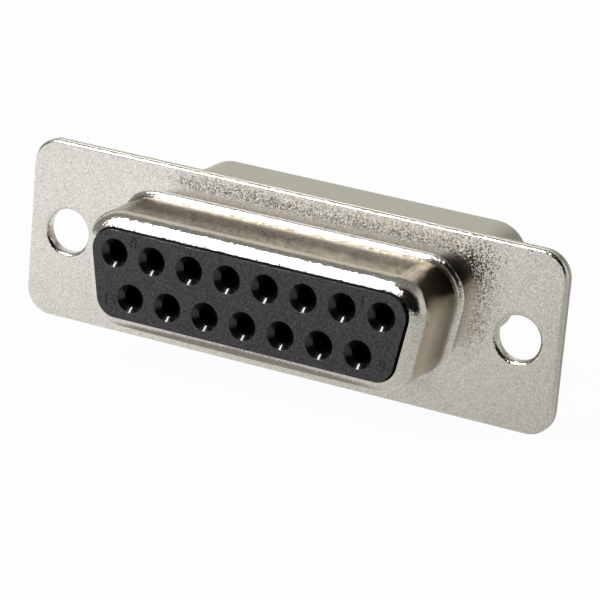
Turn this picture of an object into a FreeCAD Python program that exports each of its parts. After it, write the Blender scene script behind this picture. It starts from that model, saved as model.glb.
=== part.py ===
import FreeCAD, Part
import math
import os
import Sketcher

# Fifteen-way D-subminiature receptacle with a deep rear shell.
#
# Frame: the origin lies midway between the two mounting holes, on the front plane of the flange.
# +X runs along the two contact rows, +Z points to the wide side of the D, and the plug arrives
# along +Y, so the mating face looks along -Y and the wires leave along +Y.

doc = FreeCAD.newDocument("DSubReceptacle")

# Driving dimensions in millimetres, each with what it sets. Counts and the angle have no unit.
# The D follows from the contact rows, the mounting holes from the D and the flange from both.
DRIVING_SIZES = (
    ("contact_pitch", 2.77, "between neighbours in a row"),
    ("row_spacing", 2.84, "between the two contact rows"),
    ("long_row_count", 8, "contacts in the row on the wide side"),
    ("short_row_count", 7, "contacts in the row on the narrow side"),
    ("shell_end_margin", 2.435, "last contact of the long row to the D side, at mid-height"),
    ("shell_row_margin", 2.53, "contact row to the level side of the D"),
    ("shell_corner", 2.4, "outside corner radius of the D"),
    ("side_angle", 10.0, "lean of the two D sides, in degrees"),
    ("hole_offset", 4.53, "D side at mid-height to a mounting hole axis"),
    ("hole_diameter", 3.05, "mounting hole, inside its collar"),
    ("flange_end_margin", 2.94, "mounting hole axis to the end of the flange"),
    ("flange_band", 2.25, "flange above and below the D"),
    ("flange_corner", 1.8, "corner radius of both flange sheets"),
    ("front_sheet", 0.4, "steel of the front shell"),
    ("rear_sheet", 0.4, "steel of the rear shell"),
    ("edge_round", 0.25, "rolled outer edge of the front sheet"),
    ("rear_edge_round", 0.12, "rolled outer edge of the rear sheet"),
    ("seam_round", 0.1, "outer edges of both sheets where they meet"),
    ("hole_rim_round", 0.3, "rounded mouth of a mounting hole"),
    ("collar_wall", 0.22, "wall of the collar drawn through the rear sheet"),
    ("collar_gap", 0.03, "between a collar and the rear sheet"),
    ("stake_width", 0.5, "collar end rolled out over the rear sheet, from the bore"),
    ("stake_thickness", 0.12, "rolled end of a collar"),
    ("stake_round", 0.3, "flared mouth at the back of a collar"),
    ("front_reach", 5.55, "front shell ahead of the flange"),
    ("lip_round", 1.15, "outside bend of the front lip, which ends before it lies flat"),
    ("lip_width", 0.88, "front lip, inwards from the outside of the D"),
    ("root_round", 0.4, "bend between the D and the flange, on both shells"),
    ("rear_depth", 11.4, "rear shell behind the front plane of the flange"),
    ("rear_lip_round", 0.6, "outside bend of the rear lip"),
    ("rear_lip_width", 0.95, "rear lip, inwards from the outside of the D"),
    ("shell_gap", 0.05, "between an insulator and the shell round it"),
    ("lip_gap", 0.12, "between a lip and the insulator face inside it"),
    ("face_stand", 0.3, "insulator face ahead of the front lip"),
    ("back_recess", 0.15, "insulator back ahead of the rear lip"),
    ("ledge_width", 0.2, "ledge round each insulator, held between the shells"),
    ("ledge_thickness", 0.25, "that ledge, from the plane between the sheets"),
    ("funnel_diameter", 1.98, "pin lead-in at the insulator face"),
    ("funnel_depth", 0.42, "pin lead-in"),
    ("entry_diameter", 1.24, "pin entry behind its lead-in"),
    ("entry_depth", 2.0, "insulator face to the socket chamber"),
    ("contact_gap", 0.06, "between a contact and its chamber, on the radius"),
    ("socket_diameter", 1.55, "outside of the socket barrel"),
    ("socket_bore", 1.06, "takes the mating pin"),
    ("socket_start", 2.25, "insulator face to the socket mouth"),
    ("socket_depth", 2.7, "bore of the socket"),
    ("socket_chamfer", 0.12, "at the socket mouth, inside and outside"),
    ("slot_width", 0.24, "between the two spring tines"),
    ("slot_length", 2.3, "of the spring tines"),
    ("collar_diameter", 2.15, "contact collar held between the insulators"),
    ("collar_length", 0.8, "contact collar"),
    ("neck_length", 2.6, "between the collar and the crimp barrel"),
    ("crimp_diameter", 1.8, "outside of the crimp barrel"),
    ("crimp_bore", 1.22, "takes the stripped wire"),
    ("crimp_length", 5.4, "crimp barrel"),
    ("crimp_depth", 4.6, "wire bore of the crimp barrel"),
    ("crimp_chamfer", 0.14, "flared mouth of the wire bore"),
    ("inspection_diameter", 0.7, "hole that shows the stripped wire"),
    ("wire_entry_diameter", 2.1, "chamber of a crimp barrel"),
    ("wire_funnel_diameter", 2.45, "mouth of that chamber at the back"),
    ("wire_funnel_depth", 0.4, "lead-in of that mouth"),
)

sheet = doc.addObject("Spreadsheet::Sheet", "Sizes")
for row, (alias, number, meaning) in enumerate(DRIVING_SIZES, start=1):
    sheet.set("A%d" % row, alias)
    sheet.set("B%d" % row, str(number))
    sheet.setAlias("B%d" % row, alias)
    sheet.set("C%d" % row, meaning)
doc.recompute()

TOLERANCE = 1e-4


class Size:
    # A size keeps its number next to the formula on the sheet that gives it.
    def __init__(self, number, formula):
        self.number = number
        self.formula = formula

    def __add__(self, other):
        return Size(self.number + other.number, "(%s + %s)" % (self.formula, other.formula))

    def __sub__(self, other):
        return Size(self.number - other.number, "(%s - %s)" % (self.formula, other.formula))

    def __mul__(self, factor):
        return Size(self.number * factor, "(%s * %g)" % (self.formula, factor))

    def __neg__(self):
        return Size(-self.number, "(-%s)" % self.formula)


def size(alias):
    return Size(float(sheet.get(alias)), "Sizes.%s" % alias)


def half(alias):
    return size(alias) * 0.5


def across_side(length):
    # A step square to a leaning side of the D, measured along X.
    lean = math.radians(size("side_angle").number)
    formula = "(%s / cos(Sizes.side_angle * 1 deg))" % length.formula
    return Size(length.number / math.cos(lean), formula)


def row_run(count):
    # From the first to the last contact axis of a row.
    gaps = size(count).number - 1
    pitch = size("contact_pitch")
    return Size(gaps * pitch.number, "((Sizes.%s - 1) * %s)" % (count, pitch.formula))


ZERO = Size(0.0, "0")

# Outlines of the D and the flange, and the place of the mounting holes.
SHELL_WIDTH = row_run("long_row_count") + size("shell_end_margin") * 2
SHELL_HEIGHT = size("row_spacing") + size("shell_row_margin") * 2
HOLE_PLACE = SHELL_WIDTH * 0.5 + size("hole_offset")
FLANGE_WIDTH = (HOLE_PLACE + size("flange_end_margin")) * 2
FLANGE_HEIGHT = SHELL_HEIGHT + size("flange_band") * 2

# Levels along Y that several pieces share.
SPLIT = size("front_sheet")
FLANGE_BACK = SPLIT + size("rear_sheet")
FRONT_END = -size("front_reach")
FRONT_SHOULDER = FRONT_END + size("front_sheet")
FACE = FRONT_END - size("face_stand")
REAR_SHOULDER = size("rear_depth") - size("rear_sheet")
BACK_FACE = size("rear_depth") - size("back_recess")
SOCKET_MOUTH = FACE + size("socket_start")
COLLAR_FRONT = SPLIT - size("collar_length")
CRIMP_FRONT = SPLIT + size("neck_length")
CRIMP_BACK = CRIMP_FRONT + size("crimp_length")
CRIMP_FLOOR = CRIMP_BACK - size("crimp_depth")


def origin_feature(body, role):
    for feature in body.Origin.OriginFeatures:
        if feature.Role == role:
            return feature
    raise ValueError("no origin feature %s" % role)


def new_body(label):
    body = doc.addObject("PartDesign::Body", "Body_" + label)
    body.Label = label
    return body


def new_sketch(body, name, role):
    sketch = body.newObject("Sketcher::SketchObject", name)
    sketch.AttachmentSupport = [(origin_feature(body, role), "")]
    sketch.MapMode = "FlatFace"
    return sketch


def bind(item, target, length):
    item.setExpression(target, length.formula)


def add_dimension(sketch, name, length, *constraint):
    # A named, driving sketch dimension that follows the sheet.
    index = sketch.addConstraint(Sketcher.Constraint(*constraint, length.number))
    sketch.renameConstraint(index, name)
    bind(sketch, "Constraints." + name, length)


def rounded_outline(body, name, level, middle_width, height, corner, leaning):
    # A closed outline across the mating axis: two level edges, two sides and four equal corners.
    # Leaning sides open towards +Z and make the D. The sketch lies at y = level.
    lean = math.radians(size("side_angle").number) if leaning else 0.0
    reach = middle_width.number / 2.0
    rise = height.number / 2.0
    radius = corner.number
    sketch = new_sketch(body, name, "XZ_Plane")
    bind(sketch, "AttachmentOffset.Base.z", -level)

    def corner_centre(side, end):
        along = (rise - radius) * end
        x = reach + along * math.tan(lean) - radius / math.cos(lean)
        return FreeCAD.Vector(side * x, along, 0)

    def on_side(side, end):
        step = FreeCAD.Vector(side * math.cos(lean), -math.sin(lean), 0) * radius
        return corner_centre(side, end) + step

    def on_level(side, end):
        return corner_centre(side, end) + FreeCAD.Vector(0, radius * end, 0)

    def corner_arc(side, end, start_angle, end_angle):
        circle = Part.Circle(corner_centre(side, end), FreeCAD.Vector(0, 0, 1), radius)
        return Part.ArcOfCircle(circle, start_angle, end_angle)

    right_angle = math.pi / 2
    sketch.addGeometry([
        corner_arc(1, 1, -lean, right_angle),
        Part.LineSegment(on_level(1, 1), on_level(-1, 1)),
        corner_arc(-1, 1, right_angle, math.pi + lean),
        Part.LineSegment(on_side(-1, 1), on_side(-1, -1)),
        corner_arc(-1, -1, math.pi + lean, 3 * right_angle),
        Part.LineSegment(on_level(-1, -1), on_level(1, -1)),
        corner_arc(1, -1, -right_angle, -lean),
        Part.LineSegment(on_side(1, -1), on_side(1, 1)),
    ], False)
    first_arc, top, left_arc, left_side, low_left_arc, bottom, low_right_arc, right_side = range(8)
    middle = sketch.addGeometry(Part.Point(FreeCAD.Vector(reach, 0, 0)), True)
    for edge in range(8):
        sketch.addConstraint(Sketcher.Constraint("Tangent", edge, 2, (edge + 1) % 8, 1))
    for arc in (left_arc, low_left_arc, low_right_arc):
        sketch.addConstraint(Sketcher.Constraint("Equal", first_arc, arc))
    for level_edge in (top, bottom):
        sketch.addConstraint(Sketcher.Constraint("Symmetric", level_edge, 1, level_edge, 2, -2))
    sketch.addConstraint(Sketcher.Constraint("PointOnObject", middle, 1, -1))
    sketch.addConstraint(Sketcher.Constraint("PointOnObject", middle, 1, right_side))
    add_dimension(sketch, "corner", corner, "Radius", first_arc)
    add_dimension(sketch, "upper", height * 0.5, "DistanceY", -1, 1, top, 1)
    add_dimension(sketch, "lower", height * 0.5, "DistanceY", bottom, 1, -1, 1)
    add_dimension(sketch, "middle", middle_width * 0.5, "DistanceX", -1, 1, middle, 1)
    tilt_formula = "90 deg - Sizes.side_angle * 1 deg" if leaning else "90 deg"
    add_dimension(sketch, "tilt", Size(right_angle - lean, tilt_formula), "Angle", right_side)
    return sketch


def flange_outline(body, name, level):
    return rounded_outline(body, name, level, FLANGE_WIDTH, FLANGE_HEIGHT, size("flange_corner"),
                           leaning=False)


def d_outline(body, name, level, inset):
    # The D of the shells, moved inwards by an inset all round.
    width = SHELL_WIDTH - across_side(inset) * 2
    height = SHELL_HEIGHT - inset * 2
    return rounded_outline(body, name, level, width, height, size("shell_corner") - inset,
                           leaning=True)


def profile(body, name, role, points, offsets):
    # A closed polygon whose corners are (along, across) sizes from the sketch origin.
    sketch = new_sketch(body, name, role)
    for axis, offset in offsets.items():
        bind(sketch, "AttachmentOffset.Base." + axis, offset)
    corners = [FreeCAD.Vector(along.number, across.number, 0) for along, across in points]
    count = len(corners)
    for index in range(count):
        sketch.addGeometry(Part.LineSegment(corners[index], corners[(index + 1) % count]), False)
    for index in range(count):
        sketch.addConstraint(Sketcher.Constraint("Coincident", index, 2, (index + 1) % count, 1))
    for index, (along, across) in enumerate(points):
        for label, kind, axis, length in (("along", "DistanceX", -2, along),
                                          ("across", "DistanceY", -1, across)):
            if length is ZERO:
                sketch.addConstraint(Sketcher.Constraint("PointOnObject", index, 1, axis))
            else:
                name_here = "%s_%d" % (label, index)
                add_dimension(sketch, name_here, length, kind, -1, 1, index, 1)
    return sketch


def extrude(body, kind, name, sketch, length, backwards):
    # Pads and pockets of a sketch across the mating axis. Backwards is towards +Y.
    feature = body.newObject("PartDesign::" + kind, name)
    feature.Profile = sketch
    feature.Length = length.number
    bind(feature, "Length", length)
    feature.Reversed = backwards if kind == "Pad" else not backwards
    doc.recompute()
    return feature


def edges_on_level(feature, level, reach):
    # The edges that lie wholly in the plane y = level, no further from the middle than reach.
    found = []
    for index, edge in enumerate(feature.Shape.Edges, start=1):
        box = edge.BoundBox
        flat = abs(box.YMin - level.number) < TOLERANCE and abs(box.YMax - level.number) < TOLERANCE
        if flat and max(-box.XMin, box.XMax) < reach.number:
            found.append("Edge%d" % index)
    return found


def circles_on_level(feature, level, radius):
    found = []
    for index, edge in enumerate(feature.Shape.Edges, start=1):
        box = edge.BoundBox
        flat = abs(box.YMin - level.number) < TOLERANCE and abs(box.YMax - level.number) < TOLERANCE
        if flat and isinstance(edge.Curve, Part.Circle):
            if abs(edge.Curve.Radius - radius.number) < TOLERANCE:
                found.append("Edge%d" % index)
    return found


def round_edges(body, name, base, edges, radius):
    fillet = body.newObject("PartDesign::Fillet", name)
    fillet.Base = (base, edges)
    fillet.Radius = radius.number
    bind(fillet, "Radius", radius)
    doc.recompute()
    return fillet


def round_level(body, name, base, level, radius, reach):
    return round_edges(body, name, base, edges_on_level(base, level, reach), radius)


def turn(body, kind, name, section, axis):
    # A full turn of a section, added as a Revolution or cut as a Groove.
    feature = body.newObject("PartDesign::" + kind, name)
    feature.Profile = section
    feature.ReferenceAxis = (section, [axis])
    feature.Angle = 360.0
    doc.recompute()
    return feature


def hole_pair(body, name, level, radius, depth):
    # Two round holes on the mounting axes.
    sketch = new_sketch(body, name + "_sketch", "XZ_Plane")
    bind(sketch, "AttachmentOffset.Base.z", -level)
    for index, side in enumerate((1, -1)):
        centre = FreeCAD.Vector(side * HOLE_PLACE.number, 0, 0)
        circle = Part.Circle(centre, FreeCAD.Vector(0, 0, 1), radius.number)
        sketch.addGeometry(circle, False)
        sketch.addConstraint(Sketcher.Constraint("PointOnObject", index, 3, -1))
        add_dimension(sketch, "radius_%d" % index, radius, "Radius", index)
        ends = (-1, 1, index, 3) if side > 0 else (index, 3, -1, 1)
        add_dimension(sketch, "place_%d" % index, HOLE_PLACE, "DistanceX", *ends)
    return extrude(body, "Pocket", name, sketch, depth, backwards=True)


# The D outlines all lie within this distance of the middle, and the holes lie beyond it.
D_REACH = HOLE_PLACE - half("hole_diameter") - size("hole_rim_round")
FLANGE_REACH = FLANGE_WIDTH


def make_front_shell():
    # Drawn steel: flange, D-shaped skirt, a lip turned inwards at the front, and two mounting
    # collars drawn back through the rear sheet and rolled over behind it.
    body = new_body("front_shell")
    sheet_wall = size("front_sheet")
    base = extrude(body, "Pad", "Flange", flange_outline(body, "Flange_outline", ZERO),
                   sheet_wall, backwards=True)
    base = round_level(body, "Flange_edge", base, ZERO, size("edge_round"), FLANGE_REACH)
    base = round_level(body, "Seam_edge", base, SPLIT, size("seam_round"), FLANGE_REACH)
    base = extrude(body, "Pad", "Skirt", d_outline(body, "Skirt_outline", ZERO, ZERO),
                   size("front_reach"), backwards=False)
    base = round_level(body, "Lip_bend", base, FRONT_END, size("lip_round"), D_REACH)
    base = round_level(body, "Root_bend", base, ZERO, size("root_round"), D_REACH)
    cavity = d_outline(body, "Cavity_outline", SPLIT, sheet_wall)
    base = extrude(body, "Pocket", "Cavity", cavity, size("front_reach"), backwards=False)
    base = round_level(body, "Lip_bend_inside", base, FRONT_SHOULDER,
                       size("lip_round") - sheet_wall, D_REACH)
    base = round_level(body, "Root_bend_inside", base, SPLIT, size("root_round") + sheet_wall,
                       D_REACH)
    mouth = d_outline(body, "Mouth_outline", SPLIT, size("lip_width"))
    base = extrude(body, "Pocket", "Mouth", mouth, size("front_reach") + sheet_wall,
                   backwards=False)
    bore = half("hole_diameter")
    wall = bore + size("collar_wall")
    hole_pair(body, "Collar_holes", ZERO, wall, sheet_wall)
    return add_collars(body, bore, wall)


def add_collars(body, bore, wall):
    # Half a section through one collar, turned about the hole axis, mirrored and rounded in front.
    stake = bore + size("stake_width")
    end = FLANGE_BACK + size("stake_thickness")
    section = profile(body, "Collar_section", "XY_Plane", (
        (bore, ZERO), (bore, end), (stake, end), (stake, FLANGE_BACK), (wall, FLANGE_BACK),
        (wall, ZERO),
    ), {"x": HOLE_PLACE})
    collar = turn(body, "Revolution", "Collar", section, "V_Axis")
    mirror = body.newObject("PartDesign::Mirrored", "Collar_pair")
    mirror.Originals = [collar]
    mirror.MirrorPlane = (origin_feature(body, "YZ_Plane"), [""])
    body.Tip = mirror
    doc.recompute()
    rims = circles_on_level(mirror, ZERO, bore)
    front = round_edges(body, "Collar_mouths", mirror, rims, size("hole_rim_round"))
    rims = circles_on_level(front, end, bore)
    return round_edges(body, "Collar_backs", front, rims, size("stake_round"))


def make_rear_shell():
    # Drawn steel: a flange behind the front one, the deep D skirt and a lip turned inwards.
    body = new_body("rear_shell")
    sheet_wall = size("rear_sheet")
    depth = size("rear_depth") - SPLIT
    base = extrude(body, "Pad", "Flange", flange_outline(body, "Flange_outline", SPLIT),
                   sheet_wall, backwards=True)
    base = round_level(body, "Flange_edge", base, FLANGE_BACK, size("rear_edge_round"),
                       FLANGE_REACH)
    base = round_level(body, "Seam_edge", base, SPLIT, size("seam_round"), FLANGE_REACH)
    base = extrude(body, "Pad", "Skirt", d_outline(body, "Skirt_outline", SPLIT, ZERO), depth,
                   backwards=True)
    base = round_level(body, "Lip_bend", base, size("rear_depth"), size("rear_lip_round"), D_REACH)
    base = round_level(body, "Root_bend", base, FLANGE_BACK, size("root_round"), D_REACH)
    cavity = d_outline(body, "Cavity_outline", SPLIT, sheet_wall)
    base = extrude(body, "Pocket", "Cavity", cavity, depth - sheet_wall, backwards=True)
    base = round_level(body, "Lip_bend_inside", base, REAR_SHOULDER,
                       size("rear_lip_round") - sheet_wall, D_REACH)
    base = round_level(body, "Root_bend_inside", base, SPLIT, size("root_round") + sheet_wall,
                       D_REACH)
    mouth = d_outline(body, "Mouth_outline", SPLIT, size("rear_lip_width"))
    extrude(body, "Pocket", "Mouth", mouth, depth, backwards=True)
    clear = half("hole_diameter") + size("collar_wall") + size("collar_gap")
    return hole_pair(body, "Collar_holes", SPLIT, clear, sheet_wall)


def make_front_insulator():
    # Black moulding: a plug in the front skirt, the face inside the lip, a ledge held between the
    # shells, and fifteen stepped bores that guide the pins and carry the sockets.
    body = new_body("front_insulator")
    wall_inset = size("front_sheet") + size("shell_gap")
    base = extrude(body, "Pad", "Plug", d_outline(body, "Plug_outline", SPLIT, wall_inset),
                   SPLIT - FRONT_SHOULDER, backwards=False)
    base = round_level(body, "Shoulder_edge", base, FRONT_SHOULDER,
                       size("lip_round") - wall_inset, D_REACH)
    face_inset = size("lip_width") + size("lip_gap")
    base = extrude(body, "Pad", "Face", d_outline(body, "Face_outline", SPLIT, face_inset),
                   SPLIT - FACE, backwards=False)
    ledge = d_outline(body, "Ledge_outline", SPLIT, wall_inset - size("ledge_width"))
    base = extrude(body, "Pad", "Ledge", ledge, size("ledge_thickness"), backwards=False)
    entry = half("entry_diameter")
    funnel = half("funnel_diameter")
    chamber = half("socket_diameter") + size("contact_gap")
    collar = half("collar_diameter") + size("contact_gap")
    chamber_start = FACE + size("entry_depth")
    collar_start = COLLAR_FRONT - size("contact_gap")
    steps = (
        (FACE, ZERO), (FACE, funnel), (FACE + size("funnel_depth"), entry),
        (chamber_start, entry), (chamber_start, chamber), (collar_start, chamber),
        (collar_start, collar), (SPLIT, collar), (SPLIT, ZERO),
    )
    return bore_rows(body, steps)


def make_rear_insulator():
    # Black moulding behind the split: closes the collar pockets, guides the crimp barrels and
    # shows fifteen wire entries at the back.
    body = new_body("rear_insulator")
    wall_inset = size("rear_sheet") + size("shell_gap")
    base = extrude(body, "Pad", "Plug", d_outline(body, "Plug_outline", SPLIT, wall_inset),
                   REAR_SHOULDER - SPLIT, backwards=True)
    base = round_level(body, "Shoulder_edge", base, REAR_SHOULDER,
                       size("rear_lip_round") - wall_inset, D_REACH)
    back_inset = size("rear_lip_width") + size("lip_gap")
    base = extrude(body, "Pad", "Back", d_outline(body, "Back_outline", SPLIT, back_inset),
                   BACK_FACE - SPLIT, backwards=True)
    ledge = d_outline(body, "Ledge_outline", SPLIT, wall_inset - size("ledge_width"))
    base = extrude(body, "Pad", "Ledge", ledge, size("ledge_thickness"), backwards=True)
    neck = half("socket_diameter") + size("contact_gap")
    chamber = half("wire_entry_diameter")
    mouth = half("wire_funnel_diameter")
    chamber_start = CRIMP_FRONT - size("contact_gap")
    steps = (
        (SPLIT, ZERO), (SPLIT, neck), (chamber_start, neck), (chamber_start, chamber),
        (BACK_FACE - size("wire_funnel_depth"), chamber), (BACK_FACE, mouth), (BACK_FACE, ZERO),
    )
    return bore_rows(body, steps)


def bore_rows(body, steps):
    # The same stepped bore along each row: cut once at the end on -X, then repeated towards +X.
    repeats = []
    for name, count, side in (("Long", "long_row_count", 1), ("Short", "short_row_count", -1)):
        run = row_run(count)
        section = profile(body, name + "_section", "YZ_Plane", steps,
                          {"y": half("row_spacing") * side, "z": run * -0.5})
        groove = turn(body, "Groove", name + "_bore", section, "H_Axis")
        repeat = body.newObject("PartDesign::LinearPattern", name + "_row")
        repeat.Originals = [groove]
        repeat.Direction = (origin_feature(body, "X_Axis"), [""])
        repeat.Length = run.number
        bind(repeat, "Length", run)
        repeat.Occurrences = int(size(count).number)
        bind(repeat, "Occurrences", size(count))
        body.Tip = repeat
        doc.recompute()
        repeats.append(repeat)
    return repeats[-1]


def make_contact(number, place, row_side):
    # Turned socket contact: slotted tines in front, the collar that the insulators hold, a neck
    # and an open crimp barrel with its inspection hole.
    label = "contact_%02d" % number
    body = new_body(label)
    socket = half("socket_diameter")
    pin_bore = half("socket_bore")
    chamfer = size("socket_chamfer")
    collar = half("collar_diameter")
    crimp = half("crimp_diameter")
    wire = half("crimp_bore")
    flare = size("crimp_chamfer")
    pin_floor = SOCKET_MOUTH + size("socket_depth")
    section = profile(body, label + "_section", "YZ_Plane", (
        (pin_floor, ZERO), (pin_floor, pin_bore), (SOCKET_MOUTH + chamfer, pin_bore),
        (SOCKET_MOUTH, pin_bore + chamfer), (SOCKET_MOUTH, socket - chamfer),
        (SOCKET_MOUTH + chamfer, socket), (COLLAR_FRONT, socket), (COLLAR_FRONT, collar),
        (SPLIT, collar), (SPLIT, socket), (CRIMP_FRONT, socket), (CRIMP_FRONT, crimp),
        (CRIMP_BACK, crimp), (CRIMP_BACK, wire + flare), (CRIMP_BACK - flare, wire),
        (CRIMP_FLOOR, wire), (CRIMP_FLOOR, ZERO),
    ), {})
    turn(body, "Revolution", label + "_turned", section, "H_Axis")
    cut_slot(body, label)
    inspection_hole(body, label)
    rise = half("row_spacing") * row_side
    body.Placement = FreeCAD.Placement(FreeCAD.Vector(place.number, 0, rise.number),
                                       FreeCAD.Rotation())
    bind(body, "Placement.Base.x", place)
    bind(body, "Placement.Base.z", rise)
    return body


def cut_slot(body, label):
    # One slot right through the socket barrel leaves two tines, above and below.
    overrun = size("socket_chamfer")
    near = SOCKET_MOUTH - overrun
    far = SOCKET_MOUTH + size("slot_length")
    side = half("slot_width")
    slot = profile(body, label + "_slot_outline", "XY_Plane", (
        (-side, near), (side, near), (side, far), (-side, far),
    ), {})
    cut = body.newObject("PartDesign::Pocket", label + "_slot")
    cut.Profile = slot
    cut.Midplane = True
    cut.Length = size("collar_diameter").number
    bind(cut, "Length", size("collar_diameter"))
    doc.recompute()
    return cut


def inspection_hole(body, label):
    # The hole enters from above, just behind the floor of the wire bore.
    radius = half("inspection_diameter")
    sketch = new_sketch(body, label + "_hole_outline", "XY_Plane")
    place = CRIMP_FLOOR + size("inspection_diameter")
    centre = FreeCAD.Vector(0, place.number, 0)
    sketch.addGeometry(Part.Circle(centre, FreeCAD.Vector(0, 0, 1), radius.number), False)
    sketch.addConstraint(Sketcher.Constraint("PointOnObject", 0, 3, -2))
    add_dimension(sketch, "radius", radius, "Radius", 0)
    add_dimension(sketch, "place", place, "DistanceY", -1, 1, 0, 3)
    cut = body.newObject("PartDesign::Pocket", label + "_hole")
    cut.Profile = sketch
    cut.Reversed = True
    cut.Length = size("crimp_diameter").number
    bind(cut, "Length", size("crimp_diameter"))
    doc.recompute()
    return cut


def make_contacts():
    # Numbered as seen from the plug: along each row from +X to -X, the long row first.
    pitch = size("contact_pitch")
    number = 0
    for count, row_side in (("long_row_count", 1), ("short_row_count", -1)):
        total = int(size(count).number)
        for place in range(total):
            number += 1
            steps = "((Sizes.%s - 1) / 2 - %d)" % (count, place)
            along = Size(((total - 1) / 2 - place) * pitch.number,
                         "(%s * %s)" % (steps, pitch.formula))
            make_contact(number, along, row_side)


make_front_shell()
make_rear_shell()
make_front_insulator()
make_rear_insulator()
make_contacts()
doc.recompute()

for item in doc.Objects:
    if "Invalid" in item.State or "Error" in item.State:
        raise RuntimeError("%s did not build: %s" % (item.Name, item.State))

bodies = [item for item in doc.Objects if item.isDerivedFrom("PartDesign::Body")]
for body in bodies:
    shape = body.Shape
    if shape.isNull() or not shape.isValid() or len(shape.Solids) != 1:
        raise RuntimeError("%s is not one valid solid" % body.Label)

os.makedirs("parts", exist_ok=True)
for body in bodies:
    body.Shape.exportStep("parts/%s.step" % body.Label)
    print("%-16s %9.3f mm3" % (body.Label, body.Shape.Volume))
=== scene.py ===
import math

import bmesh
import bpy
from mathutils import Matrix, Vector


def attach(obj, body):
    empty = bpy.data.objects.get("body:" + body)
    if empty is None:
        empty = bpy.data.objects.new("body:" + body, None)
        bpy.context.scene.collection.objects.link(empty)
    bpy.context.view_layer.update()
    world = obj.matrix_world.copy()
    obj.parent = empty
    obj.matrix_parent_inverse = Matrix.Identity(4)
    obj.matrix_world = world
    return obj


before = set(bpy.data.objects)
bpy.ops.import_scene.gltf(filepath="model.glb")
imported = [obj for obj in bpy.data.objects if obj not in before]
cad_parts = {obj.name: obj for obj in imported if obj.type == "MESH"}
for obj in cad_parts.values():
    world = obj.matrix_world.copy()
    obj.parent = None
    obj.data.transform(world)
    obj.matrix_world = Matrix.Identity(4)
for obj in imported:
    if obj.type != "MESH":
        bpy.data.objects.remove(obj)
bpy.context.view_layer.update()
print("frame loaded,", len(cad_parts), "CAD pieces")

mm = 0.001  # the scene is in metres


def linearColour(hexCode):
    # sRGB hex to the linear numbers that the shaders take, by the standard's own curve
    channels = [int(hexCode[start:start + 2], 16) / 255 for start in (1, 3, 5)]
    return [c / 12.92 if c <= 0.04045 else ((c + 0.055) / 1.055) ** 2.4 for c in channels] + [1.0]


def addNode(tree, kind, settings=None, links=None):
    # settings go to a node's own fields or, by name or number, to its sockets
    node = tree.nodes.new("ShaderNode" + kind)
    for name, value in (settings or {}).items():
        if isinstance(name, int) or name in node.inputs:
            node.inputs[name].default_value = value
        else:
            setattr(node, name, value)
    for name, source in (links or {}).items():
        tree.links.new(source, node.inputs[name])
    return node


def newMaterial(name):
    # an empty node tree with a Principled shader on its output
    material = bpy.data.materials.new(name)
    material.use_nodes = True
    tree = material.node_tree
    tree.nodes.clear()
    shader = addNode(tree, "BsdfPrincipled")
    addNode(tree, "OutputMaterial", links={"Surface": shader.outputs[0]})
    return material, tree, shader


def wear(name, material):
    # the CAD piece keeps its mesh and gets the finish in every slot it has
    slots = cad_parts[name].data.materials
    if not slots:
        slots.append(material)
    for index in range(len(slots)):
        slots[index] = material


frontSteel = {
    "colour": "#fbf8f3",
    "stain": "#f1eee8",
    "paintedSkirtShade": "#cbc0ad",        # painted shade: the skirt is painted darker than the flange, darkest next to the bend at its root
    "paintedRootShade": "#7b705c",    # most of all next to the bend at its root
    "rootShadeFullAt": -1.2 * mm,        # behind this all of that second tone, ahead of the next none
    "rootShadeGoneAt": -3.4 * mm,
    "darkCrystal": "#c3bfb7",   # the darkest of the crystals, among those of the first two colours
    "stainSize": 1.6 * mm,      # soft clouds left by the plating bath
    "grainSize": 0.07 * mm,     # tin crystals, 0.04 mm in truth: coarser, so that they show
    "grainTilt": 0.24,          # how far the crystals lean, each its own way
    "coarserTowards": (0.35, 0.0, 1.0),  # they lean more and more upwards and to the right
    "fineShare": 0.55,          # share of the lean below the first of these, all above the second
    "fineBelow": 0.0 * mm,
    "coarseAbove": 5.5 * mm,
    "lipShare": 0.6,            # share of the lean on the bent lip
    "skirtShare": 0.12,         # and on the skirt, where drawing ironed the grain flat
    "flangeFrom": -0.7 * mm,    # the flange's finish fades in between these, through the bend
    "flangeTo": -0.1 * mm,
    "lipFrom": -4.5 * mm,
    "lipTo": -4.9 * mm,
    "cornerAt": (9.73 * mm, 1000 * mm, 1.55 * mm),  # middle of a D corner, the depth drops out
    "sideLean": 0.176,          # of the D's sides, 10 degrees
    "drawnFrom": 3.1 * mm,      # round the D the sheet was drawn smooth and dips towards it, in
    "drawnTo": 3.9 * mm,        # full to the first of these from that middle, not past the second
    "drawnTilt": 0.06,
    "drawnShare": 0.1,          # share of the crystals' lean that is left there
    "bentFrom": -0.02 * mm,     # and only on the level sheet, not in the bend
    "levelTo": -0.005 * mm,
    "lipLeanFrom": 2.1 * mm,    # the upper lip is turned in a little less than its bend, fading
    "lipLeanTo": 2.4 * mm,      # out between these, from the same middle
    "lipLean": 0.13,
    "roughness": 0.14,
    "skirtRoughness": 0.18,
}


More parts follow.
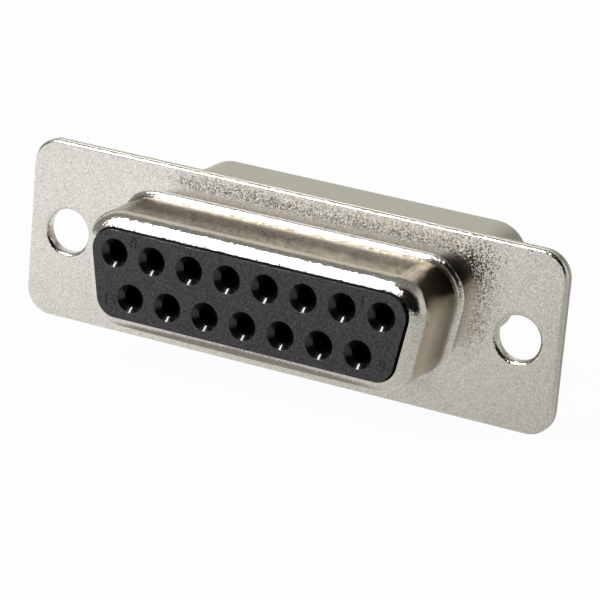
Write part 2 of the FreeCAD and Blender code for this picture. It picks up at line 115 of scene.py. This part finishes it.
def wayFromTheD(tree, place, up, s):
    # how far a point of the flange or lip is from the middle of the D's nearest corner, or from
    # the line between two of them, and which way; it is worked out on one quarter of the D
    slant = addNode(tree, "Math", {"operation": "MULTIPLY", 1: s["sideLean"]}, {0: up}).outputs[0]
    slant = addNode(tree, "CombineXYZ", links={"X": slant}).outputs[0]
    away = addNode(tree, "VectorMath", {"operation": "ABSOLUTE"}, {0: place}).outputs[0]
    away = addNode(tree, "VectorMath", {"operation": "SUBTRACT"}, {0: away, 1: slant}).outputs[0]
    away = addNode(tree, "VectorMath", {"operation": "SUBTRACT", 1: s["cornerAt"]},
                   {0: away}).outputs[0]
    away = addNode(tree, "VectorMath", {"operation": "MAXIMUM", 1: (0, 0, 0)},
                   {0: away}).outputs[0]
    reach = addNode(tree, "VectorMath", {"operation": "LENGTH"}, {0: away}).outputs["Value"]
    away = addNode(tree, "VectorMath", {"operation": "NORMALIZE"}, {0: away}).outputs[0]
    sides = addNode(tree, "VectorMath", {"operation": "SIGN"}, {0: place}).outputs[0]
    outwards = addNode(tree, "VectorMath", {"operation": "MULTIPLY"},
                       {0: away, 1: sides}).outputs[0]
    return reach, outwards


def leanOfTheSheet(tree, reach, outwards, near, lip, s):
    # the dip round the D, and the upper lip's lean, which is upwards only
    dip = addNode(tree, "Math", {"operation": "MULTIPLY", 1: s["drawnTilt"]},
                  {0: near}).outputs[0]
    dip = addNode(tree, "VectorMath", {"operation": "SCALE"},
                  {0: outwards, "Scale": dip}).outputs[0]
    upwards = addNode(tree, "VectorMath", {"operation": "MULTIPLY", 1: (0, 0, 1)},
                      {0: outwards}).outputs[0]
    upwards = addNode(tree, "VectorMath", {"operation": "MAXIMUM", 1: (0, 0, 0)},
                      {0: upwards}).outputs[0]
    turned = addNode(tree, "MapRange", {"interpolation_type": "SMOOTHSTEP",
                                        "From Min": s["lipLeanTo"], "From Max": s["lipLeanFrom"],
                                        "To Max": s["lipLean"]}, {"Value": reach}).outputs[0]
    turned = addNode(tree, "Math", {"operation": "MULTIPLY"}, {0: turned, 1: lip}).outputs[0]
    turned = addNode(tree, "VectorMath", {"operation": "SCALE"},
                     {0: upwards, "Scale": turned}).outputs[0]
    return addNode(tree, "VectorMath", {"operation": "ADD"}, {0: dip, 1: turned}).outputs[0]


def makeFrontSteel(s):
    # matt, warm and speckled where the sheet is as rolled, and satin where the die ironed it, with
    # painted shade over the skirt
    material, tree, shader = newMaterial("tinPlateOverDrawnSteel")
    shader.inputs["Metallic"].default_value = 1.0
    place = addNode(tree, "TexCoord").outputs["Object"]
    axes = addNode(tree, "SeparateXYZ", links={0: place}).outputs
    along = axes["Y"]
    flange = addNode(tree, "MapRange", {"From Min": s["flangeFrom"], "From Max": s["flangeTo"]},
                     {"Value": along}).outputs[0]
    lip = addNode(tree, "MapRange", {"From Min": s["lipFrom"], "From Max": s["lipTo"]},
                  {"Value": along}).outputs[0]
    rolled = addNode(tree, "Math", {"operation": "MAXIMUM"}, {0: flange, 1: lip}).outputs[0]
    # how much of their full lean the crystals have, by place
    slope = addNode(tree, "VectorMath", {"operation": "DOT_PRODUCT", 1: s["coarserTowards"]},
                    {0: place}).outputs["Value"]
    coarse = addNode(tree, "MapRange", {"From Min": s["fineBelow"], "From Max": s["coarseAbove"],
                                        "To Min": s["fineShare"]}, {"Value": slope}).outputs[0]
    drawn = addNode(tree, "MapRange", {"To Min": s["skirtShare"], "To Max": s["lipShare"]},
                    {"Value": lip}).outputs[0]
    share = addNode(tree, "Mix", {}, {0: flange, 2: drawn, 3: coarse}).outputs[0]
    reach, outwards = wayFromTheD(tree, place, axes["Z"], s)
    level = addNode(tree, "MapRange", {"From Min": s["bentFrom"], "From Max": s["levelTo"]},
                    {"Value": along}).outputs[0]
    near = addNode(tree, "MapRange", {"interpolation_type": "SMOOTHSTEP",
                                      "From Min": s["drawnTo"], "From Max": s["drawnFrom"]},
                   {"Value": reach}).outputs[0]
    near = addNode(tree, "Math", {"operation": "MULTIPLY"}, {0: near, 1: level}).outputs[0]
    share = addNode(tree, "Mix", {3: s["drawnShare"]}, {0: near, 2: share}).outputs[0]
    # the surface leans by crystal and, in two places, by sheet
    dip = leanOfTheSheet(tree, reach, outwards, near, lip, s)
    lean = addNode(tree, "Math", {"operation": "MULTIPLY", 1: s["grainTilt"]},
                   {0: share}).outputs[0]
    crystals = addNode(tree, "TexVoronoi", {"Scale": 1 / s["grainSize"]}, {"Vector": place})
    meanColour = (0.5, 0.5, 0.5)
    aside = addNode(tree, "VectorMath", {"operation": "SUBTRACT", 1: meanColour},
                    {0: crystals.outputs["Color"]}).outputs[0]
    aside = addNode(tree, "VectorMath", {"operation": "SCALE"},
                    {0: aside, "Scale": lean}).outputs[0]
    upright = addNode(tree, "NewGeometry").outputs["Normal"]
    aside = addNode(tree, "VectorMath", {"operation": "ADD"}, {0: aside, 1: dip}).outputs[0]
    tilted = addNode(tree, "VectorMath", {"operation": "ADD"}, {0: upright, 1: aside}).outputs[0]
    tilted = addNode(tree, "VectorMath", {"operation": "NORMALIZE"}, {0: tilted}).outputs[0]
    tree.links.new(tilted, shader.inputs["Normal"])
    # clouds and darker crystals where it is as rolled; on the skirt a painted shade, darkest next
    # to its root
    clouds = addNode(tree, "TexNoise", {"Scale": 1 / s["stainSize"], "Detail": 3.0},
                     {"Vector": place}).outputs[0]
    tint = addNode(tree, "Mix", {"data_type": "RGBA", 6: linearColour(s["colour"]),
                                 7: linearColour(s["stain"])}, {0: clouds}).outputs[2]
    tint = addNode(tree, "Mix", {"data_type": "RGBA", 7: linearColour(s["darkCrystal"])},
                   {0: crystals.outputs["Color"], 6: tint}).outputs[2]
    # painted shade on the skirt, darkest next to the bend at its root
    rootShadeMask = addNode(tree, "MapRange", {"From Min": s["rootShadeGoneAt"], "From Max": s["rootShadeFullAt"]},
                       {"Value": along}).outputs[0]
    paintedSkirtShade = addNode(tree, "Mix", {"data_type": "RGBA", 6: linearColour(s["paintedSkirtShade"]),
                                   7: linearColour(s["paintedRootShade"])}, {0: rootShadeMask}).outputs[2]
    tint = addNode(tree, "Mix", {"data_type": "RGBA"}, {0: rolled, 6: paintedSkirtShade, 7: tint}).outputs[2]
    tree.links.new(tint, shader.inputs["Base Color"])
    dullness = addNode(tree, "MapRange", {"To Min": s["skirtRoughness"], "To Max": s["roughness"]},
                       {"Value": rolled}).outputs[0]
    tree.links.new(dullness, shader.inputs["Roughness"])
    return material


rearSteel = {
    "colour": "#c9c8bb",
    "stain": "#bfbeb2",
    "stainSize": 2.2 * mm,
    "grainSize": 0.16 * mm,     # a fine rolled skin, drawn a little coarser than it is
    "grainHeight": 0.003 * mm,
    "roughness": 0.36,
}


def makeRearSteel(s):
    # even satin tin, greyer than the front and almost without grain
    material, tree, shader = newMaterial("satinTinPlate")
    shader.inputs["Metallic"].default_value = 1.0
    shader.inputs["Roughness"].default_value = s["roughness"]
    place = addNode(tree, "TexCoord").outputs["Object"]
    clouds = addNode(tree, "TexNoise", {"Scale": 1 / s["stainSize"], "Detail": 3.0},
                     {"Vector": place}).outputs[0]
    tint = addNode(tree, "Mix", {"data_type": "RGBA", 6: linearColour(s["colour"]),
                                 7: linearColour(s["stain"])}, {0: clouds}).outputs[2]
    tree.links.new(tint, shader.inputs["Base Color"])
    grain = addNode(tree, "TexNoise", {"Scale": 1 / s["grainSize"], "Detail": 2.0},
                    {"Vector": place}).outputs[0]
    relief = addNode(tree, "Bump", {"Distance": s["grainHeight"]}, {"Height": grain}).outputs[0]
    tree.links.new(relief, shader.inputs["Normal"])
    return material


blackNylon = {
    "colour": "#161618",
    "fibre": "#49494c",
    # painted shade: the entries are painted darker than the face
    "entryPaintedShade": "#101012",
    "fibreSize": 0.14 * mm,     # glass fibres are 0.01 mm thick: drawn coarse enough to show
    "fibreFrom": 0.4,           # the noise turns from the one colour to the other between these
    "fibreTo": 0.6,
    "reliefHeight": 0.03 * mm,
    "roughness": 0.45,
    "entryRoughness": 0.17,
    "entryFrom": -5.845 * mm,   # the moulding is glossy inside its entries, behind the face
    "entryTo": -5.8 * mm,
    "entryEnd": -3.5 * mm,
    "entryEndFade": 0.5 * mm,
    "entryReach": 2.5 * mm,     # and no further from the middle than this, across the rows
    "entryReachFade": 0.1 * mm,
}


def makeBlackNylon(s):
    # glass-filled and moulded: charcoal with a fine mottle and a low, even sheen
    material, tree, shader = newMaterial("glassFilledNylon")
    shader.inputs["IOR"].default_value = 1.53
    place = addNode(tree, "TexCoord").outputs["Object"]
    axes = addNode(tree, "SeparateXYZ", links={0: place}).outputs
    along = axes["Y"]
    across = addNode(tree, "Math", {"operation": "ABSOLUTE"}, {0: axes["Z"]}).outputs[0]
    inner = addNode(tree, "MapRange", {"From Min": s["entryReach"] + s["entryReachFade"],
                                       "From Max": s["entryReach"]}, {"Value": across}).outputs[0]
    behind = addNode(tree, "MapRange", {"From Min": s["entryFrom"], "From Max": s["entryTo"]},
                     {"Value": along}).outputs[0]
    ahead = addNode(tree, "MapRange", {"From Min": s["entryEnd"] + s["entryEndFade"],
                                       "From Max": s["entryEnd"]}, {"Value": along}).outputs[0]
    entry = addNode(tree, "Math", {"operation": "MULTIPLY"}, {0: behind, 1: ahead}).outputs[0]
    entry = addNode(tree, "Math", {"operation": "MULTIPLY"}, {0: entry, 1: inner}).outputs[0]
    polish = addNode(tree, "MapRange", {"To Min": s["roughness"], "To Max": s["entryRoughness"]},
                     {"Value": entry}).outputs[0]
    tree.links.new(polish, shader.inputs["Roughness"])
    fibres = addNode(tree, "TexNoise", {"Scale": 1 / s["fibreSize"], "Detail": 3.0,
                                        "Roughness": 0.7}, {"Vector": place}).outputs[0]
    specks = addNode(tree, "MapRange", {"From Min": s["fibreFrom"], "From Max": s["fibreTo"]},
                     {"Value": fibres}).outputs[0]
    tint = addNode(tree, "Mix", {"data_type": "RGBA", 6: linearColour(s["colour"]),
                                 7: linearColour(s["fibre"])}, {0: specks}).outputs[2]
    # painted shade inside the entries, the recess drawn darker than the face
    tint = addNode(tree, "Mix", {"data_type": "RGBA", 7: linearColour(s["entryPaintedShade"])},
                   {0: entry, 6: tint}).outputs[2]
    tree.links.new(tint, shader.inputs["Base Color"])
    rough = addNode(tree, "Math", {"operation": "SUBTRACT", 0: 1.0}, {1: entry}).outputs[0]
    relief = addNode(tree, "Bump", {"Distance": s["reliefHeight"]},
                     {"Height": fibres, "Strength": rough}).outputs[0]
    tree.links.new(relief, shader.inputs["Normal"])
    return material


goldFlash = {
    "colour": "#c9a561",
    "bare": "#b3874c",          # where the flash is thin
    "flashSize": 1.0 * mm,
    "turnSize": 0.05 * mm,      # lathe marks round the barrel, real ones are half as far apart
    "turnHeight": 0.001 * mm,
    "roughness": 0.24,
}


def makeGoldFlash(s):
    # a thin gold flash on turned brass: warm, bright and faintly ringed by the lathe
    material, tree, shader = newMaterial("goldFlashedBrass")
    shader.inputs["Metallic"].default_value = 1.0
    shader.inputs["Roughness"].default_value = s["roughness"]
    place = addNode(tree, "TexCoord").outputs["Object"]
    along = addNode(tree, "SeparateXYZ", links={0: place}).outputs["Y"]
    thin = addNode(tree, "TexNoise", {"Scale": 1 / s["flashSize"], "Detail": 2.0},
                   {"Vector": place}).outputs[0]
    tint = addNode(tree, "Mix", {"data_type": "RGBA", 6: linearColour(s["colour"]),
                                 7: linearColour(s["bare"])}, {0: thin}).outputs[2]
    tree.links.new(tint, shader.inputs["Base Color"])
    rings = addNode(tree, "TexNoise", {"noise_dimensions": "1D", "Scale": 1 / s["turnSize"]},
                    {"W": along}).outputs[0]
    relief = addNode(tree, "Bump", {"Distance": s["turnHeight"]}, {"Height": rings}).outputs[0]
    tree.links.new(relief, shader.inputs["Normal"])
    return material


frontSteelFinish = makeFrontSteel(frontSteel)
rearSteelFinish = makeRearSteel(rearSteel)
nylonFinish = makeBlackNylon(blackNylon)
goldFinish = makeGoldFlash(goldFlash)
wear("front_shell", frontSteelFinish)
wear("rear_shell", rearSteelFinish)
wear("front_insulator", nylonFinish)
wear("rear_insulator", nylonFinish)
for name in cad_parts:
    if name.startswith("contact_"):
        wear(name, goldFinish)
print("finishes on the CAD pieces")

entryNumbers = {
    "height": 0.78 * mm,        # of a figure
    "sizePerHeight": 1.37,      # the built-in font's figures are 0.73 of its size
    "curveSteps": 4,
    "relief": 0.06 * mm,        # half the thickness, the back half lies in the face
    "face": -5.85 * mm,
    "mergeWithin": 0.0005 * mm,
    "places": {                 # middle of each number, along the rows and across them
        "1": (8.25 * mm, 2.1 * mm),
        "8": (-8.4 * mm, 2.3 * mm),
        "9": (9.99 * mm, -1.77 * mm),
        "15": (-9.87 * mm, -1.85 * mm),
    },
}


def makeEntryNumbers(s):
    whole = bmesh.new()
    for text, (along, across) in s["places"].items():
        curve = bpy.data.curves.new("figures", "FONT")
        curve.body = text
        curve.size = s["height"] * s["sizePerHeight"]
        curve.extrude = s["relief"]
        curve.align_x = "CENTER"
        curve.align_y = "CENTER"
        curve.resolution_u = s["curveSteps"]
        holder = bpy.data.objects.new("figures", curve)
        bpy.context.scene.collection.objects.link(holder)
        bpy.context.view_layer.update()
        flat = bpy.data.meshes.new_from_object(
            holder.evaluated_get(bpy.context.evaluated_depsgraph_get()))
        standing = Matrix.Rotation(math.pi / 2, 4, "X")
        flat.transform(Matrix.Translation((along, s["face"], across)) @ standing)
        whole.from_mesh(flat)
        bpy.data.objects.remove(holder)
        bpy.data.curves.remove(curve)
        bpy.data.meshes.remove(flat)
    bmesh.ops.remove_doubles(whole, verts=whole.verts, dist=s["mergeWithin"])
    mesh = bpy.data.meshes.new("entryNumbers")
    whole.to_mesh(mesh)
    whole.free()
    mesh.materials.append(nylonFinish)
    piece = bpy.data.objects.new("entryNumbers", mesh)
    bpy.context.scene.collection.objects.link(piece)
    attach(piece, "root")


makeEntryNumbers(entryNumbers)
print("contact numbers moulded")

floorSheet = {
    "size": 1.6,
    "level": -6.2 * mm,         # the flange stands on its lower edge
    "colour": "#f2f1ee",
    "whiteness": 0.96,          # share of plain white that the camera sees, the rest is lit
    "mirroredWhiteness": 0.95,  # and that the steel mirrors, so the lit share keeps the shadow
    "shade": "#bbbab5",         # the paper as the steel mirrors it on the right, away from the
    "shadeFrom": -30 * mm,      # lamps; it turns from white to this along the rows
    "shadeTo": 30 * mm,
    "shadow": "#8f8c86",        # the mirrored paper under the lip, in its shadow
    "shadowAt": (-1.5 * mm, -4.4 * mm),
    "shadowReach": (10.5 * mm, 2.8 * mm),
    "shadowFull": 0.75,         # it fades out between these shares of that reach
    "shadowGone": 1.15,
}


def makeFloor(s):
    shape = bmesh.new()
    bmesh.ops.create_grid(shape, x_segments=1, y_segments=1, size=s["size"] / 2)
    bmesh.ops.translate(shape, verts=shape.verts, vec=(0, 0, s["level"]))
    mesh = bpy.data.meshes.new("floorSheet")
    shape.to_mesh(mesh)
    shape.free()
    floor = bpy.data.objects.new("floorSheet", mesh)
    bpy.context.scene.collection.objects.link(floor)
    material = bpy.data.materials.new("whitePaper")
    material.use_nodes = True
    tree = material.node_tree
    tree.nodes.clear()
    paper = addNode(tree, "BsdfDiffuse", {"Color": linearColour(s["colour"])}).outputs[0]
    place = addNode(tree, "TexCoord").outputs["Object"]
    rows = addNode(tree, "SeparateXYZ", links={0: place}).outputs["X"]
    right = addNode(tree, "MapRange", {"From Min": s["shadeFrom"], "From Max": s["shadeTo"]},
                    {"Value": rows}).outputs[0]
    path = addNode(tree, "LightPath").outputs
    mirrored = addNode(tree, "Math", {"operation": "MULTIPLY"},
                       {0: right, 1: path["Is Glossy Ray"]}).outputs[0]
    tone = addNode(tree, "Mix", {"data_type": "RGBA", 6: (1, 1, 1, 1),
                                 7: linearColour(s["shade"])}, {0: mirrored}).outputs[2]
    under = addNode(tree, "Mapping", {"Location": (*s["shadowAt"], s["level"]),
                                      "Scale": (*s["shadowReach"], 1), "vector_type": "TEXTURE"},
                    {"Vector": place}).outputs[0]
    away = addNode(tree, "VectorMath", {"operation": "LENGTH"}, {0: under}).outputs["Value"]
    shadow = addNode(tree, "MapRange", {"interpolation_type": "SMOOTHSTEP",
                                        "From Min": s["shadowGone"],
                                        "From Max": s["shadowFull"]}, {"Value": away}).outputs[0]
    shadow = addNode(tree, "Math", {"operation": "MULTIPLY"},
                     {0: shadow, 1: path["Is Glossy Ray"]}).outputs[0]
    tone = addNode(tree, "Mix", {"data_type": "RGBA", 7: linearColour(s["shadow"])},
                   {0: shadow, 6: tone}).outputs[2]
    white = addNode(tree, "Emission", {"Strength": 1.0}, {"Color": tone}).outputs[0]
    through = addNode(tree, "Math", {"operation": "MAXIMUM"},
                      {0: path["Is Glossy Ray"], 1: path["Is Transmission Ray"]}).outputs[0]
    inSteel = addNode(tree, "Math", {"operation": "MULTIPLY", 1: s["mirroredWhiteness"]},
                      {0: through}).outputs[0]
    seen = addNode(tree, "Math", {"operation": "MULTIPLY", 1: s["whiteness"]},
                   {0: path["Is Camera Ray"]}).outputs[0]
    share = addNode(tree, "Math", {"operation": "MAXIMUM"}, {0: seen, 1: inSteel})
    blend = addNode(tree, "MixShader", links={0: share.outputs[0], 1: paper, 2: white})
    addNode(tree, "OutputMaterial", links={"Surface": blend.outputs[0]})
    mesh.materials.append(material)


room = {
    "low": "#8d8c87",           # the walls at floor height
    "overhead": "#85847f",      # and what is straight above
    "lowBelow": 0.15,           # height of the direction, 0 level and 1 straight up
    "overheadAbove": 0.7,
    "patches": {                # each fades in between two cosines of the angle to its middle
        "paleWall": {"colour": "#e2e2dc", "towards": (-0.5, 0.83, 0.25), "from": 0.72, "to": 0.86},
        "lowCard": {"colour": "#ffffff", "towards": (-0.42, -0.9, 0.07), "from": 0.962,
                    "to": 0.985},
        "gapBelowSoftbox": {"colour": "#1c1b18", "towards": (-0.42, -0.82, 0.42), "from": 0.975,
                            "to": 0.993},
        "sideWall": {"colour": "#d5d5cf", "towards": (1.0, 0.35, 0.1), "from": 0.55, "to": 0.85},
        "darkOfTheCamera": {"colour": "#161513", "towards": (0.39, -0.8, 0.47), "from": 0.61,
                            "to": 0.8},
    },
}


def makeRoom(s):
    world = bpy.data.worlds.new("studioRoom")
    bpy.context.scene.world = world
    world.use_nodes = True
    tree = world.node_tree
    tree.nodes.clear()
    towards = addNode(tree, "TexCoord").outputs["Generated"]
    height = addNode(tree, "SeparateXYZ", links={0: towards}).outputs["Z"]
    rise = addNode(tree, "MapRange", {"From Min": s["lowBelow"], "From Max": s["overheadAbove"]},
                   {"Value": height}).outputs[0]
    around = addNode(tree, "Mix", {"data_type": "RGBA", 6: linearColour(s["low"]),
                                   7: linearColour(s["overhead"])}, {0: rise}).outputs[2]
    for patch in s["patches"].values():
        middle = Vector(patch["towards"]).normalized()
        nearness = addNode(tree, "VectorMath", {"operation": "DOT_PRODUCT", 1: middle},
                           {0: towards}).outputs["Value"]
        inside = addNode(tree, "MapRange", {"interpolation_type": "SMOOTHSTEP",
                                            "From Min": patch["from"], "From Max": patch["to"]},
                         {"Value": nearness}).outputs[0]
        around = addNode(tree, "Mix", {"data_type": "RGBA", 7: linearColour(patch["colour"])},
                         {0: inside, 6: around}).outputs[2]
    air = addNode(tree, "Background", links={"Color": around}).outputs[0]
    addNode(tree, "OutputWorld", links={"Surface": air})


lamps = {
    # a wide softbox in front, up to the left: the white bands on the bends
    "softbox": {"towards": (-0.42, -0.6, 0.68), "distance": 0.45, "size": (0.36, 0.235),
                "power": 0.84},
    # a small bright one above it: the glint in each entry
    "spark": {"towards": (-0.42, -0.22, 0.89), "distance": 0.45, "size": (0.04, 0.07),
              "power": 0.42},
}


def makeLamps(s):
    for name, lamp in s.items():
        light = bpy.data.lights.new(name, "AREA")
        light.shape = "RECTANGLE"
        light.size, light.size_y = lamp["size"]
        light.energy = lamp["power"]
        holder = bpy.data.objects.new(name, light)
        bpy.context.scene.collection.objects.link(holder)
        back = Vector(lamp["towards"]).normalized()
        holder.location = back * lamp["distance"]
        holder.rotation_mode = "QUATERNION"
        holder.rotation_quaternion = back.to_track_quat("Z", "Y")


photoCamera = {
    "place": (93.621 * mm, -192.261 * mm, 69.465 * mm),
    "aim": (1.058 * mm, 0.172 * mm, -0.925 * mm),
    "roll": 5.003,              # degrees, the right side of the frame tips up
    "lens": 205.766,
    "sensorWidth": 36.0,
    "clip": (0.01, 10.0),
}


def makeCamera(s):
    data = bpy.data.cameras.new("photoCamera")
    data.lens = s["lens"]
    data.sensor_width = s["sensorWidth"]
    data.clip_start, data.clip_end = s["clip"]
    camera = bpy.data.objects.new("photoCamera", data)
    bpy.context.scene.collection.objects.link(camera)
    view = Vector(s["aim"]) - Vector(s["place"])
    turn = view.to_track_quat("-Z", "Y").to_matrix().to_4x4()
    roll = Matrix.Rotation(math.radians(s["roll"]), 4, "Z")
    camera.matrix_world = Matrix.Translation(s["place"]) @ turn @ roll
    bpy.context.scene.camera = camera


makeFloor(floorSheet)
makeRoom(room)
makeLamps(lamps)
makeCamera(photoCamera)
bpy.context.scene.view_settings.view_transform = "Standard"
print("floor, room, lamps and camera ready")
